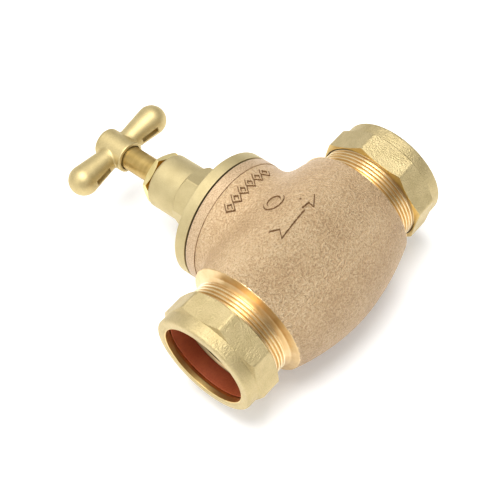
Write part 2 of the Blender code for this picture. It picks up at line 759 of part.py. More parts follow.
def main():
    clear_scene()
    gunmetal = material("gunmetal_casting", (0.55, 0.40, 0.25), 0.45, 0.9)
    nut_brass = material("nut_brass", (0.74, 0.62, 0.36), 0.30, 1.0)
    bonnet_brass = material("bonnet_brass", (0.74, 0.64, 0.42), 0.35, 1.0)
    handle_brass = material("handle_brass", (0.66, 0.53, 0.28), 0.38, 1.0)
    stem_brass = material("stem_brass", (0.70, 0.56, 0.28), 0.22, 1.0)
    inner_brass = material("inner_brass", (0.68, 0.54, 0.28), 0.30, 1.0)
    copper = material("copper", (0.45, 0.16, 0.09), 0.35, 1.0)
    steel = material("steel", (0.55, 0.55, 0.56), 0.30, 1.0)
    rubber = material("rubber", (0.03, 0.03, 0.03), 0.70, 0.0)
    fibre = material("fibre", (0.10, 0.05, 0.03), 0.80, 0.0)
    packing = material("packing", (0.12, 0.12, 0.12), 0.85, 0.0)

    make_valve_body(gunmetal)
    make_bonnet(bonnet_brass)
    make_bonnet_washer(fibre)
    make_gland(bonnet_brass, packing)
    make_stem(stem_brass)
    make_handle(handle_brass, steel)
    make_jumper(inner_brass, steel, rubber)
    make_compression_nut("inlet_nut", INLET_SIDE, INLET_NUT_TURN, nut_brass)
    make_compression_nut("outlet_nut", OUTLET_SIDE, OUTLET_NUT_TURN, nut_brass)
    make_olive("inlet_olive", INLET_SIDE, copper)
    make_olive("outlet_olive", OUTLET_SIDE, copper)


main()
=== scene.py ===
"""Looks of the screw-down stop valve: fine pieces, materials, floor, lights and camera.

Sizes are in millimetres from the point where the pipe's axis meets the stem's.
MM turns them into metres.
"""

import math

import bmesh
import bpy
import numpy as np
from mathutils import Matrix, Vector, noise


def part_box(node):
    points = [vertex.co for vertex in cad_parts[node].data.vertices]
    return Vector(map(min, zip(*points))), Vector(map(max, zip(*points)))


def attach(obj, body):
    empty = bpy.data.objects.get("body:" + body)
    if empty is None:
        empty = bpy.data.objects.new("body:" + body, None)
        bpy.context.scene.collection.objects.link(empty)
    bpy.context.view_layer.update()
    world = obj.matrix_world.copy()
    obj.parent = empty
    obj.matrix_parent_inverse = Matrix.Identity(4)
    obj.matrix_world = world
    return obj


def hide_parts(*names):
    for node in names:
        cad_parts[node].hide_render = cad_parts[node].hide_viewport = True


MM = 0.001

# Casting
GLOBE_RADIUS = 44.4
GLOBE_WIDENING = 4.3
GLOBE_SAG = 2.2
GLOBE_POWER = 1.77
SHOULDER = 48.0
SHOULDER_RADIUS = 37.9
NECK_RADIUS = 39.6
NECK_BLEND = 6.1
NECK_SIDE_FALL = 2.0
RIM_RADIUS = 40.0
RIM_BOTTOM = 45.8
RIM_TOP = 52.8
BONNET_BORE = 33.3

# Threaded ends and compression nuts
PIPE_RADIUS = 27.3
BODY_END = 70.6
THREAD_PITCH = 25.4 / 11
THREAD_ROOT = 30.6
THREAD_CREST = 32.1
THREAD_PHASE = 52.4
NUT_REAR = 61.6
NUT_FLATS_END = 76.2
NUT_FACE = 85.3
NUT_APOTHEM = 33.7
NUT_TURNS = {"inlet": math.radians(28.0), "outlet": math.radians(38.8)}

# Bonnet, gland, stem and handle, as heights along the stem
FLANGE_BOTTOM = 53.85
FLANGE_TOP = 61.4
WRENCH_TOP = 84.6
BARREL_TOP = 105.4
BARREL_RADIUS = 17.4
WRENCH_TURN = math.radians(22.4)
GLAND_BASE = 106.8
GLAND_TOP = 110.9
GLAND_APOTHEM = 14.5
GLAND_TURN = math.radians(27.8)
STEM_RADIUS = 7.5
HANDLE_BASE = 136.0
HANDLE_TOP = 158.0
HUB_RADIUS = 10.0
ARM_HEIGHT = 147.0
ARM_BALL_OFFSET = 30.1
ARM_BALL_RADIUS = 9.5
ARM_TURN = math.radians(1.8)

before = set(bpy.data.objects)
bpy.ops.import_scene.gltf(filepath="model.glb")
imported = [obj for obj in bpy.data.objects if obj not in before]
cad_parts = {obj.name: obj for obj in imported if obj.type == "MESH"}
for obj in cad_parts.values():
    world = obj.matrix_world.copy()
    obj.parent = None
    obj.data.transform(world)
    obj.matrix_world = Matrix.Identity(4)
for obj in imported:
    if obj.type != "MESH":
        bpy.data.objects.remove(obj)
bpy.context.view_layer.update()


def middle(node):
    low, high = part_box(node)
    return (low + high) / 2


AXES_MEET = Vector((middle("bonnet").x, middle("inlet_nut").y, middle("inlet_nut").z))
CENTRE = Matrix.Translation(AXES_MEET)
STEM_SIDE = CENTRE @ Matrix.Rotation(-math.pi / 2, 4, "X")
OUTLET_SIDE = CENTRE @ Matrix(((0, 0, 1, 0), (1, 0, 0, 0), (0, 1, 0, 0), (0, 0, 0, 1)))
INLET_SIDE = CENTRE @ Matrix(((0, 0, -1, 0), (1, 0, 0, 0), (0, -1, 0, 0), (0, 0, 0, 1)))


# ---------------------------------------------------------------- meshes


def placed(points, place):
    """Millimetre points of a local frame, as metre points of the row frame."""
    matrix = np.array(place)
    return np.asarray(points) * MM @ matrix[:3, :3].T + matrix[:3, 3]


def new_object(name, points, faces, looks, face_looks=None):
    mesh = bpy.data.meshes.new(name)
    mesh.from_pydata(points.tolist(), [], faces)
    if face_looks is not None:
        mesh.polygons.foreach_set("material_index", face_looks)
    for look in looks:
        mesh.materials.append(look)
    made = bpy.data.objects.new(name, mesh)
    bpy.context.scene.collection.objects.link(made)
    return made


def weld(target, distance=2e-6):
    bm = bmesh.new()
    bm.from_mesh(target.data)
    bmesh.ops.remove_doubles(bm, verts=bm.verts, dist=distance)
    bmesh.ops.recalc_face_normals(bm, faces=bm.faces)
    bm.to_mesh(target.data)
    bm.free()
    target.data.shade_smooth()


def baked(target):
    """The target's mesh with its modifiers applied."""
    graph = bpy.context.evaluated_depsgraph_get()
    mesh = bpy.data.meshes.new_from_object(target.evaluated_get(graph))
    target.modifiers.clear()
    target.data = mesh
    return target


def even_normals(target):
    modifier = target.modifiers.new("even_normals", "WEIGHTED_NORMAL")
    modifier.weight = 60


def finished(target, body, slot, *replaced):
    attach(target, body)
    if replaced:
        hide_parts(*replaced)
    return target


def corner_angles(turn, sides, per_side):
    """Angles round an axis, closer together near a prism's corners."""
    steps = np.arange(per_side) / per_side
    warped = steps - 0.7 * np.sin(math.tau * steps) / math.tau
    return turn + (np.arange(sides)[:, None] + warped[None, :]).ravel() * math.tau / sides


def prism_radius(angles, turn, sides, apothem, sharpness=100):
    """How far out a prism's flats are, with its edges slightly rounded."""
    middles = turn + (np.arange(sides) + 0.5) * math.tau / sides
    facing = np.clip(np.cos(angles[None, :] - middles[:, None]), 0, 1)
    return apothem / (facing**sharpness).sum(0) ** (1 / sharpness)


def rounded_profile(corners, closed, arc_steps=5):
    """Rows of (radius, height) for every angle, from corners (radius, height, rounding, look)."""
    count = len(corners)
    width = max(np.size(value) for corner in corners for value in corner[:2])
    path = np.empty((count, width, 2))
    for index, corner in enumerate(corners):
        path[index, :, 0] = corner[0]
        path[index, :, 1] = corner[1]
    rows, looks = [], []
    for index, corner in enumerate(corners):
        look = corner[3] if len(corner) > 3 else 0
        here = path[index]
        if not closed and index in (0, count - 1):
            rows.append(here)
            looks.append(look)
            continue
        back = path[index - 1] - here
        ahead = path[(index + 1) % count] - here
        back_length = np.linalg.norm(back, axis=1, keepdims=True) + 1e-9
        ahead_length = np.linalg.norm(ahead, axis=1, keepdims=True) + 1e-9
        back, ahead = back / back_length, ahead / ahead_length
        cosine = np.clip((back * ahead).sum(1, keepdims=True), -0.9999, 0.9999)
        half = np.arccos(cosine) / 2
        cut = np.minimum(corner[2] / np.tan(half), 0.45 * np.minimum(back_length, ahead_length))
        start, end = here + back * cut, here + ahead * cut
        for step in range(arc_steps + 1):
            part = step / arc_steps
            rows.append((1 - part) ** 2 * start + 2 * part * (1 - part) * here + part**2 * end)
            looks.append(look)
    return np.array(rows), looks


def lathe_grid(rows, angles):
    radius, height = rows[..., 0], rows[..., 1]
    return np.stack([radius * np.cos(angles), radius * np.sin(angles), height + 0 * angles], -1)


def grid_faces(row_count, columns, closed_rows, start=0):
    faces = []
    for row in range(row_count if closed_rows else row_count - 1):
        below = start + row * columns
        above = start + (row + 1) % row_count * columns
        for column in range(columns):
            after = (column + 1) % columns
            faces.append((below + column, below + after, above + after, above + column))
    return faces


def thread_grid(low, high, root, crest, angles, phase=THREAD_PHASE, pitch=THREAD_PITCH):
    """A right-handed rounded thread between two heights; its ridge fades out at both ends."""
    per_pitch = 14
    turns = math.ceil((high - low) / pitch) + 1
    steps = np.arange(-per_pitch, turns * per_pitch + 1)[:, None]
    height = low + (steps / per_pitch + (angles[None, :] - angles[0]) / math.tau) * pitch
    height = np.clip(height, low, high)
    turn = math.tau * (height - phase) / pitch - angles[None, :]
    swing = (0.5 + 0.5 * np.cos(turn)) ** 1.6
    fade = np.clip(np.minimum(height - low, high - height) / (0.35 * pitch), 0, 1)
    radius = root + (crest - root) * swing * fade
    return np.stack([radius, height], -1), per_pitch


def thread_faces(row_count, columns, per_pitch, start):
    """Like grid_faces, but the last column joins the first one a pitch higher."""
    faces = []
    for row in range(row_count - 1):
        for column in range(columns - 1):
            corner = start + row * columns + column
            faces.append((corner, corner + 1, corner + columns + 1, corner + columns))
    for row in range(row_count - 1 - per_pitch):
        last = start + row * columns + columns - 1
        first = start + (row + per_pitch) * columns
        faces.append((last, first, first + columns, last + columns))
    return faces


def turned(name, parts, place, looks, angles, cap=False):
    """A piece turned about its axis: each part is a list of corners, or a dictionary that describes a thread."""
    points, faces, face_looks = [], [], []
    start = 0
    columns = len(angles)
    closed = len(parts) == 1 and not cap
    for part in parts:
        if isinstance(part, dict):
            look = part.get("look", 0)
            crest_look = part.get("crest_look", look)
            sizes = {key: part[key] for key in part if key not in ("look", "crest_look")}
            rows, per_pitch = thread_grid(angles=angles, **sizes)
            made = thread_faces(len(rows), columns, per_pitch, start)
            # Faces near a thread's crest take its crest look; a paler crest look is a painted highlight.
            crest_start = part["root"] + 0.8 * (part["crest"] - part["root"])
            painted_highlight_on_crest = rows[..., 0].ravel() > crest_start
            face_looks += [crest_look if painted_highlight_on_crest[face[0] - start] else look for face in made]
        else:
            rows, row_looks = rounded_profile(part, closed)
            made = grid_faces(len(rows), columns, closed, start)
            for look in row_looks if closed else row_looks[:-1]:
                face_looks += [look] * columns
        points.append(lathe_grid(rows, angles).reshape(-1, 3))
        faces += made
        start += len(rows) * columns
    made = new_object(name, placed(np.concatenate(points), place), faces, looks, face_looks)
    weld(made)
    even_normals(made)
    return made


# ---------------------------------------------------------------- materials


def linear(red, green, blue):
    """A screen colour, from 0 to 255, as linear light."""
    values = []
    for value in (red, green, blue):
        value /= 255
        values.append(value / 12.92 if value <= 0.04045 else ((value + 0.055) / 1.055) ** 2.4)
    return (*values, 1.0)


class Nodes:
    """Short calls for the node types that the materials use."""

    def __init__(self, name, metallic, roughness):
        self.made = bpy.data.materials.new(name)
        self.made.use_nodes = True
        self.tree = self.made.node_tree
        self.shader = self.tree.nodes["Principled BSDF"]
        self.shader.inputs["Metallic"].default_value = metallic
        self.shader.inputs["Roughness"].default_value = roughness
        self.position = self.add("ShaderNodeTexCoord").outputs["Object"]

    def add(self, kind, **settings):
        node = self.tree.nodes.new(kind)
        for key, value in settings.items():
            setattr(node, key, value)
        return node

    def link(self, source, target):
        self.tree.links.new(source, target)

    def noise(self, size, detail=2.0, roughness=0.5, vector=None, distortion=0.0):
        """Noise whose blobs are about size millimetres across."""
        node = self.add("ShaderNodeTexNoise")
        node.inputs["Scale"].default_value = 1 / (size * MM)
        node.inputs["Detail"].default_value = detail
        node.inputs["Roughness"].default_value = roughness
        node.inputs["Distortion"].default_value = distortion
        self.link(vector or self.position, node.inputs["Vector"])
        return node.outputs["Fac"]

    def math(self, operation, first, second, clamp=False):
        node = self.add("ShaderNodeMath", operation=operation, use_clamp=clamp)
        for socket, value in zip(node.inputs, (first, second)):
            if isinstance(value, (int, float)):
                socket.default_value = value
            else:
                self.link(value, socket)
        return node.outputs[0]

    def ramp(self, factor, stops):
        node = self.add("ShaderNodeValToRGB")
        while len(node.color_ramp.elements) < len(stops):
            node.color_ramp.elements.new(0.5)
        for element, (place, colour) in zip(node.color_ramp.elements, stops):
            element.position = place
            element.color = colour
        self.link(factor, node.inputs["Fac"])
        return node.outputs["Color"]

    def spread(self, factor, low, high, source=(0.3, 0.7)):
        node = self.add("ShaderNodeMapRange")
        node.inputs["From Min"].default_value = source[0]
        node.inputs["From Max"].default_value = source[1]
        node.inputs["To Min"].default_value = low
        node.inputs["To Max"].default_value = high
        self.link(factor, node.inputs["Value"])
        return node.outputs["Result"]

    def bump(self, height, depth, strength=1.0, before=None):
        """Bump with the given depth in millimetres."""
        node = self.add("ShaderNodeBump")
        node.inputs["Distance"].default_value = depth * MM
        node.inputs["Strength"].default_value = strength
        self.link(height, node.inputs["Height"])
        if before:
            self.link(before, node.inputs["Normal"])
        return node.outputs["Normal"]

    def about_axis(self, axis):
        """A vector of (distance along the axis, distance from it), so that noise makes turning marks."""
        away = self.add("ShaderNodeVectorMath", operation="SUBTRACT")
        away.inputs[1].default_value = AXES_MEET
        self.link(self.position, away.inputs[0])
        parts = self.add("ShaderNodeSeparateXYZ")
        self.link(away.outputs[0], parts.inputs[0])
        others = [name for name in "XYZ" if name != axis]
        squares = [self.math("MULTIPLY", parts.outputs[name], parts.outputs[name]) for name in others]
        radius = self.math("SQRT", self.math("ADD", *squares), 0.0)
        joined = self.add("ShaderNodeCombineXYZ")
        self.link(parts.outputs[axis], joined.inputs[0])
        self.link(radius, joined.inputs[1])
        return joined.outputs[0]

    def set(self, socket, value):
        self.link(value, self.shader.inputs[socket])


def brushed_metal(name, dark, light, roughness, grain, grain_depth, metallic=1.0):
    """Metal with cloudy tone and a fine grain."""
    nodes = Nodes(name, metallic, roughness)
    cloud = nodes.noise(9, 3)
    fine = nodes.noise(grain, 3, 0.6)
    tone = nodes.math("ADD", nodes.math("MULTIPLY", cloud, 0.45), nodes.math("MULTIPLY", fine, 0.55))
    nodes.set("Base Color", nodes.ramp(tone, [(0.38, linear(*dark)), (0.62, linear(*light))]))
    nodes.set("Roughness", nodes.spread(fine, roughness - 0.04, roughness + 0.05))
    nodes.set("Normal", nodes.bump(fine, grain_depth))
    return nodes.made


def turned_metal(name, dark, light, roughness, axis, spacing=1.6, depth=0.004):
    """Bright metal off a lathe: faint rings about its axis, and cloudy tone."""
    nodes = Nodes(name, 1.0, roughness)
    cloud = nodes.noise(7, 3)
    rings = nodes.noise(spacing, 3, 0.5, nodes.about_axis(axis))
    tone = nodes.math("ADD", nodes.math("MULTIPLY", cloud, 0.6), nodes.math("MULTIPLY", rings, 0.4))
    nodes.set("Base Color", nodes.ramp(tone, [(0.38, linear(*dark)), (0.62, linear(*light))]))
    nodes.set("Roughness", nodes.spread(rings, roughness - 0.04, roughness + 0.06))
    nodes.set("Normal", nodes.bump(rings, depth))
    return nodes.made


def cast_metal(name, dark, middle_tone, light, grain, depth):
    """As-cast bronze: sandy grain, coarser on the side away from the stem, and cloudy tone."""
    nodes = Nodes(name, 0.45, 0.5)
    cloud = nodes.noise(24, 1, 0.5)
    lumps = nodes.noise(grain, 2, 0.5)
    sand = nodes.noise(grain * 0.45, 2, 0.5)
    tone = nodes.math("ADD", nodes.math("MULTIPLY", cloud, 0.15), nodes.math("MULTIPLY", sand, 0.45))
    tone = nodes.math("ADD", tone, nodes.math("MULTIPLY", lumps, 0.4))
    stops = [(0.4, linear(*dark)), (0.5, linear(*middle_tone)), (0.6, linear(*light))]
    nodes.set("Base Color", nodes.ramp(tone, stops))
    nodes.set("Roughness", nodes.spread(sand, 0.36, 0.52))
    parts = nodes.add("ShaderNodeSeparateXYZ")
    nodes.link(nodes.position, parts.inputs[0])
    height = AXES_MEET.y
    coarse = nodes.spread(parts.outputs["Y"], 1.0, 0.45, (height - 25 * MM, height + 25 * MM))
    rough = nodes.math("ADD", lumps, nodes.math("MULTIPLY", sand, 0.5))
    nodes.set("Normal", nodes.bump(nodes.math("MULTIPLY", rough, coarse), depth))
    return nodes.made


def soft_material(name, dark, light, roughness, grain, depth):
    """Rubber, fibre or yarn, and the painted shade in the marks' creases and the rim's groove: no metal, with a
    cloudy tone and a grain.
    """
    nodes = Nodes(name, 0.0, roughness)
    nodes.shader.inputs["Specular IOR Level"].default_value = 0.15
    fine = nodes.noise(grain, 4, 0.6)
    nodes.set("Base Color", nodes.ramp(fine, [(0.35, linear(*dark)), (0.65, linear(*light))]))
    nodes.set("Normal", nodes.bump(fine, depth))
    return nodes.made


LOOKS = {
    "gunmetal_casting": cast_metal(
        "gunmetal_casting", (172, 140, 102), (194, 163, 123), (212, 186, 148), 1.25, 2.2
    ),
    "rim": cast_metal("gunmetal_rim", (160, 131, 98), (188, 160, 124), (208, 182, 148), 0.8, 0.5),
    # Dark colour for faces inside the body, the pipe sockets and the nuts' bores: painted shade.
    "waterway": cast_metal("gunmetal_waterway_painted_shade", (70, 50, 34), (92, 68, 46), (120, 90, 62), 0.8, 0.4),
    # Dark band round the raised marks' feet and walls: painted shade.
    "crease": soft_material("casting_crease_painted_shade", (84, 60, 38), (122, 92, 62), 0.8, 0.6, 0.05),
    # Dark line in the groove under the rim: painted shade.
    "groove": soft_material("rim_groove_painted_shade", (92, 66, 42), (176, 144, 108), 0.8, 6.0, 0.05),
    "machined": turned_metal("gunmetal_machined", (214, 182, 130), (230, 202, 154), 0.36, "X"),
    # Paler thread crests: painted highlight lines along them.
    "crest": turned_metal("gunmetal_crest_painted_highlight", (244, 226, 184), (250, 236, 200), 0.3, "X"),
    "nut_brass": brushed_metal("nut_brass", (186, 168, 122), (206, 188, 142), 0.5, 0.85, 0.5),
    "nut_turned": turned_metal("nut_turned_brass", (218, 190, 122), (234, 206, 138), 0.34, "X"),
    "bonnet_brass": brushed_metal("bonnet_brass", (190, 174, 130), (205, 190, 146), 0.6, 0.6, 0.1),
    "gland_brass": turned_metal("gland_brass", (226, 204, 138), (240, 222, 160), 0.36, "Y"),
    "stem_brass": turned_metal("stem_brass", (176, 148, 88), (196, 168, 106), 0.42, "Y", 2.6, 0.002),
    "handle_brass": brushed_metal("handle_brass", (196, 177, 127), (212, 194, 144), 0.54, 0.8, 0.08),
    "gland_gold": turned_metal("gland_gold", (222, 176, 76), (238, 196, 98), 0.3, "Y"),
    "inner_brass": turned_metal("inner_brass", (196, 164, 96), (220, 190, 124), 0.3, "Y"),
    "copper": brushed_metal("copper", (178, 84, 48), (194, 98, 58), 0.55, 1.2, 0.01, 0.3),
    "steel": brushed_metal("steel", (150, 152, 156), (186, 188, 192), 0.30, 0.8, 0.01),
    "rubber": soft_material("rubber", (18, 18, 19), (38, 38, 40), 0.65, 0.7, 0.03),
    "fibre": soft_material("fibre", (16, 10, 6), (36, 24, 15), 0.9, 0.5, 0.06),
    "packing": soft_material("packing", (30, 30, 31), (66, 65, 64), 0.8, 0.9, 0.12),
}


# ---------------------------------------------------------------- casting


def casting_distance(points):
    """How far a point is outside the casting: a widened globe, smoothly joined by a neck along the stem."""
    along, up, side = points.T
    bulge = np.clip(1 - (along / SHOULDER) ** 2, 0, 1)
    fall = (SHOULDER_RADIUS / GLOBE_RADIUS) ** GLOBE_POWER
    reach = SHOULDER / (1 - fall) ** (1 / GLOBE_POWER)
    radius = GLOBE_RADIUS * (1 - np.abs(along / reach) ** GLOBE_POWER) ** (1 / GLOBE_POWER)
    wide = radius + GLOBE_WIDENING * bulge
    radius = radius - NECK_SIDE_FALL * (1 - bulge) * np.clip(up / radius, 0, 1) ** 2
    globe = (np.hypot((up + GLOBE_SAG * bulge) / radius, side / wide) - 1) * radius
    neck = np.maximum(np.hypot(along, side) - NECK_RADIUS, -up)
    blend = np.clip(NECK_BLEND - np.abs(globe - neck), 0, None) / NECK_BLEND
    return np.minimum(globe, neck) - blend**2 * NECK_BLEND / 4


def casting_gradient(points, step=0.05):
    gradient = np.empty_like(points)
    for axis in range(3):
        offset = np.zeros(3)
        offset[axis] = step
        gradient[:, axis] = casting_distance(points + offset) - casting_distance(points - offset)
    return gradient / (2 * step)


def outline_distance(points, outline):
    """Signed distance from a closed outline, negative inside it."""
    nearest = np.full(len(points), np.inf)
    inside = np.zeros(len(points), bool)
    for start, end in zip(outline, outline[1:] + outline[:1]):
        start, end = np.array(start, float), np.array(end, float)
        edge = end - start
        away = points - start
        part = np.clip(away @ edge / (edge @ edge), 0, 1)
        nearest = np.minimum(nearest, np.linalg.norm(away - part[:, None] * edge, axis=1))
        spans = (start[1] > points[:, 1]) != (end[1] > points[:, 1])
        if start[1] != end[1]:
            crossing = start[0] + (points[:, 1] - start[1]) * edge[0] / edge[1]
            inside ^= spans & (points[:, 0] < crossing)
    return np.where(inside, -nearest, nearest)


def marks_distance(points):
    """Signed distance from the raised marks: a flow arrow, a plain ring and a row of lozenges."""
    arrow = [(-17.7, 2.0), (9.0, 1.1), (8.7, 2.2), (15.6, -2.2), (8.7, -7.4), (9.4, -3.6), (3.9, -3.2)]
    arrow += [(3.7, -5.2), (-17.0, -6.4), (-13.4, -2.2)]
    distance = outline_distance(points, arrow)
    oval_radius, oval_half_width, squeeze = 5.4, 1.0, 1.25
    from_oval = np.hypot(points[:, 0] - 0.4, (points[:, 1] - 14.3) * squeeze)
    distance = np.minimum(distance, np.abs(from_oval - oval_radius) - oval_half_width)
    lozenges, spacing = 6, 6.3
    for number in range(lozenges):
        x = -12.8 + spacing * number
        y = 36.4 + 0.06 * (x + 13)
        lozenge = np.abs(points[:, 0] - x) / 2.6 + np.abs(points[:, 1] - y) / 3.3
        distance = np.minimum(distance, np.abs((lozenge - 0.9) * 2.0) - 0.5)
    return distance


def globe_and_neck_block():
    """A closed block that roughly fills the casting, longer than it at every cut face."""
    columns = 64
    first_radius = 40
    past_rim = RIM_BOTTOM + 3
    turn = np.linspace(0, math.tau, columns, endpoint=False)
    stations = np.linspace(-SHOULDER - 3, SHOULDER + 3, 40)
    points = []
    for along in stations:
        around = [np.full(columns, along), first_radius * np.cos(turn), first_radius * np.sin(turn)]
        ring = np.stack(around, 1)
        for _ in range(8):
            slope = casting_gradient(ring)
            slope[:, 0] = 0
            gap = np.hypot(ring[:, 1], ring[:, 2])
            outward = np.stack([0 * gap, ring[:, 1] / gap, ring[:, 2] / gap], 1)
            rate = np.clip((slope * outward).sum(1), 0.3, None)
            ring -= outward * np.clip(casting_distance(ring) / rate, -6, 6)[:, None]
            ring[:, 1] = np.minimum(ring[:, 1], past_rim)
        points.append(ring)
    faces = grid_faces(len(stations), columns, False)
    last = columns * (len(stations) - 1)
    faces += [tuple(range(columns))[::-1], tuple(range(last, last + columns))]
    block = new_object("globe_block", placed(np.concatenate(points), CENTRE), faces, [])
    weld(block)
    neck_foot = 5
    corners = [(0, neck_foot), (NECK_RADIUS, neck_foot), (NECK_RADIUS, past_rim), (0, past_rim)]
    rows = np.array([[corner] * columns for corner in corners], float)
    neck_points = placed(lathe_grid(rows, turn).reshape(-1, 3), STEM_SIDE)
    neck = new_object("neck_block", neck_points, grid_faces(len(corners), columns, False), [])
    weld(neck)
    return block, neck


def joined(first, *others):
    chosen = [first, *others]
    with bpy.context.temp_override(
        active_object=first, object=first, selected_objects=chosen, selected_editable_objects=chosen
    ):
        bpy.ops.object.join()
    return first


def refine_near_marks(skin):
    """Smaller faces where the raised marks' edges will be."""
    bm = bmesh.new()
    bm.from_mesh(skin.data)
    near = [face for face, gap in zip(bm.faces, gaps_to_marks(bm)) if abs(gap) < 0.7]
    edges = {edge for face in near for edge in face.edges}
    bmesh.ops.subdivide_edges(bm, edges=list(edges), cuts=2, use_grid_fill=True)
    bm.to_mesh(skin.data)
    bm.free()


def gaps_to_marks(bm):
    """Each face's distance from the marks' outlines, and infinity on the side without marks."""
    centres = np.array([face.calc_center_median() - AXES_MEET for face in bm.faces]) / MM
    gaps = np.full(len(centres), np.inf)
    front = (centres[:, 2] > 0) & (np.abs(centres[:, 0]) < 30) & (centres[:, 1] > -12)
    gaps[front] = marks_distance(centres[front][:, :2])
    return gaps


def make_casting():
    block, neck = globe_and_neck_block()
    skin = joined(block, neck)
    skin.name = "valve_casting"
    remesh = skin.modifiers.new("even_faces", "REMESH")
    remesh.mode = "VOXEL"
    remesh.voxel_size = 0.62 * MM
    baked(skin)
    refine_near_marks(skin)

    mesh = skin.data
    count = len(mesh.vertices)
    flat = np.empty(count * 3, np.float32)
    mesh.vertices.foreach_get("co", flat)
    points = (flat.reshape(-1, 3).astype(float) - np.array(AXES_MEET)) / MM
    movable = (np.abs(points[:, 0]) < SHOULDER + 2.2) & (points[:, 1] < RIM_BOTTOM + 2.2)
    for _ in range(4):
        near = points[movable]
        slope = casting_gradient(near)
        move = casting_distance(near) / (slope**2).sum(1)
        points[movable] = near - slope * np.clip(move, -1.5, 1.5)[:, None]
    near = points[movable]
    slope = casting_gradient(near)
    slope /= np.linalg.norm(slope, axis=1, keepdims=True)
    sand = np.array([noise.fractal(Vector(p) / 1.7, 1.0, 2.0, 3) for p in near])
    swell = np.array([noise.noise(Vector(p) / 11.0) for p in near])
    sand_depth, swell_depth, mark_height = 0.1, 0.04, 1.0
    coarse = 0.65 + 0.35 * np.clip(-near[:, 1] / 30 - near[:, 0] / 90, -1, 1)
    lift = sand_depth * sand * coarse + swell_depth * swell
    points[movable] = near + slope * lift[:, None]
    front = movable & (points[:, 2] > 0)
    raised = np.clip(0.5 - marks_distance(points[front][:, :2]) / 0.4, 0, 1)
    points[front, 2] += mark_height * raised * raised * (3 - 2 * raised)
    mesh.vertices.foreach_set("co", (points * MM + np.array(AXES_MEET)).astype(np.float32).ravel())

    bm = bmesh.new()
    bm.from_mesh(mesh)
    cuts = (
        (Vector((SHOULDER, 0, 0)), Vector((1, 0, 0))),
        (Vector((-SHOULDER, 0, 0)), Vector((-1, 0, 0))),
        (Vector((0, RIM_BOTTOM, 0)), Vector((0, 1, 0))),
    )
    for point, outward in cuts:
        geometry = bm.verts[:] + bm.edges[:] + bm.faces[:]
        at = AXES_MEET + point * MM
        bmesh.ops.bisect_plane(bm, geom=geometry, plane_co=at, plane_no=outward, clear_outer=True)
    # Faces in a band round the marks' edges take the dark band colour: painted shade.
    in_painted_crease_shade = [int(-0.1 < gap < 0.45) for gap in gaps_to_marks(bm)]
    bm.to_mesh(mesh)
    bm.free()
    mesh.materials.clear()
    mesh.materials.append(LOOKS["gunmetal_casting"])
    mesh.materials.append(LOOKS["crease"])
    mesh.polygons.foreach_set("material_index", in_painted_crease_shade)
    mesh.shade_smooth()
    return finished(skin, "body", "gunmetal_casting", "valve_body")


def make_casting_inside():
    """The waterway, partition and seat: the CAD body's faces that lie inside its outer skin."""
    inside = bpy.data.objects.new("casting_inside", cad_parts["valve_body"].data.copy())
    bpy.context.scene.collection.objects.link(inside)
    bm = bmesh.new()
    bm.from_mesh(inside.data)
    bmesh.ops.triangulate(bm, faces=bm.faces)
    centres = np.array([face.calc_center_median() - AXES_MEET for face in bm.faces]) / MM
    inner = casting_distance(centres) < -1.6
    inner &= (np.abs(centres[:, 0]) < 45.5) & (centres[:, 1] < RIM_BOTTOM)
    dropped = [face for face, keep in zip(bm.faces, inner) if not keep]
    bmesh.ops.delete(bm, geom=dropped, context="FACES")
    bm.to_mesh(inside.data)
    bm.free()
    inside.data.materials.clear()
    # These inside faces take the dark waterway colour: painted shade.
    inside.data.materials.append(LOOKS["waterway"])
    return finished(inside, "body", "gunmetal_casting")


def make_body_end(name, place):
    """The machined end: a flared shoulder, the nut's thread, the pipe socket and the olive's cone."""
    angles = np.linspace(0, math.tau, 192, endpoint=False)
    thread_low, thread_high = 51.5, BODY_END - 0.9
    flare = [
        (PIPE_RADIUS, 44.5, 0.1),
        (36.0, 44.5, 0.1),
        (38.05, 47.5, 0.2),
        (37.85, 48.15, 0.2),
        (36.6, 48.55, 0.8),
        (33.2, 49.6, 1.6),
        (31.2, 51.0, 1.0),
        (THREAD_ROOT, thread_low, 0.1),
    ]
    mouth = [
        (THREAD_ROOT, thread_high, 0.1),
        (THREAD_ROOT - 0.1, BODY_END - 0.5, 0.2),
        (THREAD_ROOT - 0.6, BODY_END, 0.2),
        (PIPE_RADIUS + 1.9, BODY_END, 0.15),
        # The pipe socket's faces, look 2, take the dark waterway colour: painted shade.
        (PIPE_RADIUS, BODY_END - 3.3, 0.3, 2),
        (PIPE_RADIUS, 44.5, 0.1, 2),
    ]
    thread = {
        "low": thread_low,
        "high": thread_high,
        "root": THREAD_ROOT,
        "crest": THREAD_CREST,
        # The thread's crest faces take the pale crest colour: painted highlight.
        "crest_look": 1,
    }
    looks = [LOOKS["machined"], LOOKS["crest"], LOOKS["waterway"]]
    made = turned(name, [flare, thread, mouth], place, looks, angles)
    return finished(made, "body", "gunmetal_casting")


def make_rim():
    angles = np.linspace(0, math.tau, 192, endpoint=False)
    corners = [
        (BONNET_BORE, RIM_BOTTOM - 0.6, 0.1),
        # Faces from this corner to the next take the dark groove colour: painted shade.
        (RIM_RADIUS - 1.6, RIM_BOTTOM - 0.6, 0.1, 1),
        (RIM_RADIUS, RIM_BOTTOM + 0.5, 0.5),
        (RIM_RADIUS, RIM_TOP, 0.45),
        (BONNET_BORE, RIM_TOP, 0.3),
    ]
    made = turned("casting_rim", [corners], STEM_SIDE, [LOOKS["rim"], LOOKS["groove"]], angles)
    return finished(made, "body", "gunmetal_casting")


# ---------------------------------------------------------------- turned pieces


